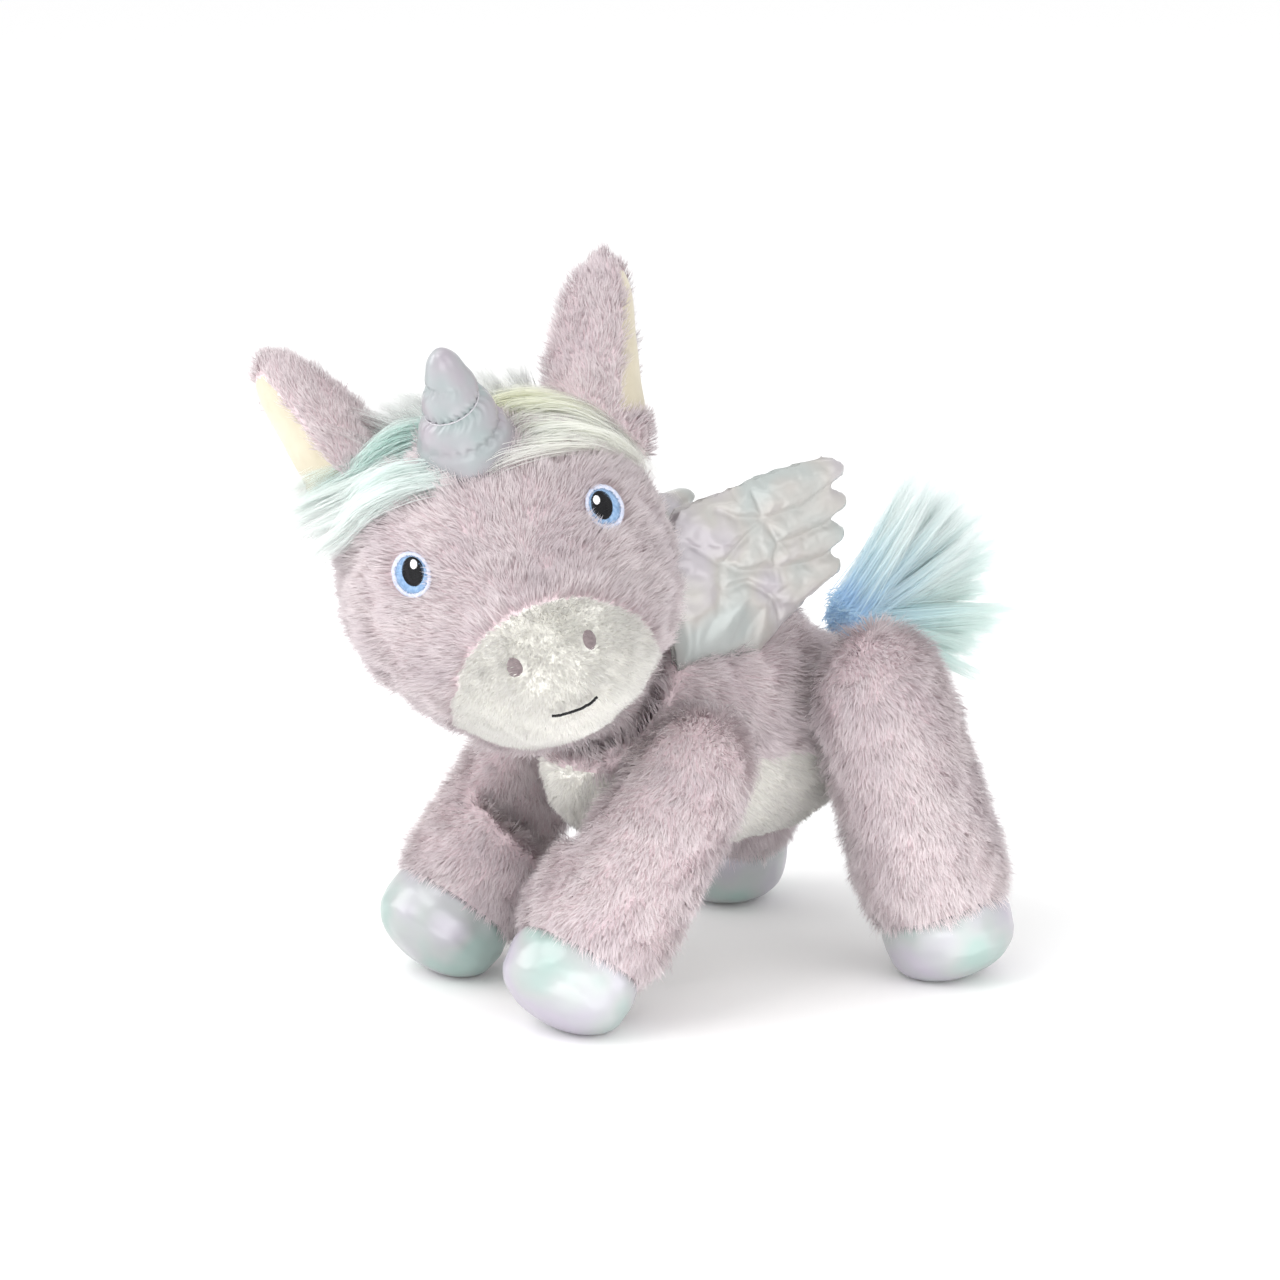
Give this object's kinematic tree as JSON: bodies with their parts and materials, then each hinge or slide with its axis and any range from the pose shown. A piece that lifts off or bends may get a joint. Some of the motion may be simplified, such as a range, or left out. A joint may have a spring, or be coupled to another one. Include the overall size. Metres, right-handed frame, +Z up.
{
  "type": "plush unicorn",
  "caption": "Soft plush winged unicorn standing on four splayed stuffed legs, head turned aside, with padded horn, ears, foil wings, hooves and a long-pile tail",
  "frame": {"origin": "on the floor under the middle of the toy's box", "axes": "+Z is up; the toy's front is towards -Y and its own left is +X"},
  "size_m": [0.1964, 0.3282, 0.3061],
  "materials": {
    "lilac_pile": "matte",
    "white_pile": "matte",
    "stuffing": "matte",
    "pearl_foil": "satin",
    "ear_lining": "matte",
    "mane_pile": "matte",
    "tail_pile": "matte",
    "eye_thread": "satin",
    "nose_thread": "satin",
    "black_thread": "satin"
  },
  "bodies": {
    "root": {"torso_cover": "lilac_pile", "belly_panel": "white_pile", "torso_stuffing": "stuffing"},
    "neck": {"neck_stuffing": "stuffing"},
    "head": {"head_cover": "lilac_pile", "muzzle_panel": "white_pile", "head_stuffing": "stuffing", "eye_left": "eye_thread", "eye_right": "eye_thread", "nostril_left": "nose_thread", "nostril_right": "nose_thread", "mouth_stitch": "black_thread", "horn_cover": "pearl_foil", "horn_stuffing": "stuffing", "horn_winding_cord": "pearl_foil", "forelock": "mane_pile", "mane_crest": "mane_pile"},
    "ear_left": {"ear_cover_left": "lilac_pile", "ear_lining_left": "ear_lining"},
    "ear_right": {"ear_cover_right": "lilac_pile", "ear_lining_right": "ear_lining"},
    "wing_left": {"wing_outer_panel_left": "pearl_foil", "wing_wadding_left": "stuffing", "wing_inner_panel_left": "pearl_foil"},
    "wing_right": {"wing_outer_panel_right": "pearl_foil", "wing_wadding_right": "stuffing", "wing_inner_panel_right": "pearl_foil"},
    "tail": {"tail_stub": "lilac_pile", "tail_pile": "tail_pile"},
    "leg_front_left": {"leg_cover_front_left": "lilac_pile", "hoof_front_left": "pearl_foil", "leg_stuffing_front_left": "stuffing"},
    "leg_front_right": {"leg_cover_front_right": "lilac_pile", "hoof_front_right": "pearl_foil", "leg_stuffing_front_right": "stuffing"},
    "leg_hind_left": {"leg_cover_hind_left": "lilac_pile", "hoof_hind_left": "pearl_foil", "leg_stuffing_hind_left": "stuffing"},
    "leg_hind_right": {"leg_cover_hind_right": "lilac_pile", "hoof_hind_right": "pearl_foil", "leg_stuffing_hind_right": "stuffing"}
  },
  "joints": [
    {"name": "neck_turn", "type": "hinge", "parent": "root", "child": "neck", "pos_m": [-0.00222, -0.03881, 0.12325], "axis": [0.0931, -0.6628, 0.7429], "range_deg": [-12, 12], "stiffness_Nm_per_rad": 1.2},
    {"name": "head_nod", "type": "hinge", "parent": "neck", "child": "head", "pos_m": [-0.00222, -0.03881, 0.12325], "axis": [0.4268, 0.7007, 0.5717], "range_deg": [-7, 7], "stiffness_Nm_per_rad": 1.2},
    {"name": "ear_flop_left", "type": "hinge", "parent": "head", "child": "ear_left", "pos_m": [-0.00008, -0.04298, 0.23585], "axis": [0.8318, -0.4611, 0.309], "range_deg": [-8, 8], "stiffness_Nm_per_rad": 0.03},
    {"name": "ear_flop_right", "type": "hinge", "parent": "head", "child": "ear_right", "pos_m": [-0.0355, -0.12997, 0.21111], "axis": [-0.8318, 0.4611, -0.309], "range_deg": [-8, 8], "stiffness_Nm_per_rad": 0.03},
    {"name": "leg_swing_front_left", "type": "hinge", "parent": "root", "child": "leg_front_left", "pos_m": [0.03539, -0.02487, 0.1], "axis": [1, 0, 0], "range_deg": [-14, 14], "stiffness_Nm_per_rad": 0.9},
    {"name": "leg_swing_front_right", "type": "hinge", "parent": "root", "child": "leg_front_right", "pos_m": [-0.04461, -0.02487, 0.1], "axis": [1, 0, 0], "range_deg": [-14, 14], "stiffness_Nm_per_rad": 0.9},
    {"name": "leg_swing_hind_left", "type": "hinge", "parent": "root", "child": "leg_hind_left", "pos_m": [0.04539, 0.06513, 0.121], "axis": [1, 0, 0], "range_deg": [-14, 14], "stiffness_Nm_per_rad": 1.2},
    {"name": "leg_swing_hind_right", "type": "hinge", "parent": "root", "child": "leg_hind_right", "pos_m": [-0.05461, 0.06513, 0.121], "axis": [1, 0, 0], "range_deg": [-14, 14], "stiffness_Nm_per_rad": 1.2},
    {"name": "wing_flap_left", "type": "hinge", "parent": "root", "child": "wing_left", "pos_m": [0.02239, 0.00113, 0.154], "axis": [0, 1, 0], "range_deg": [0, 45], "stiffness_Nm_per_rad": 0.05},
    {"name": "wing_flap_right", "type": "hinge", "parent": "root", "child": "wing_right", "pos_m": [-0.03161, 0.00113, 0.154], "axis": [0, 1, 0], "range_deg": [0, 55], "stiffness_Nm_per_rad": 0.05},
    {"name": "tail_lift", "type": "hinge", "parent": "root", "child": "tail", "pos_m": [-0.00461, 0.08513, 0.138], "axis": [1, 0, 0], "range_deg": [-15, 20], "stiffness_Nm_per_rad": 0.05}
  ]
}
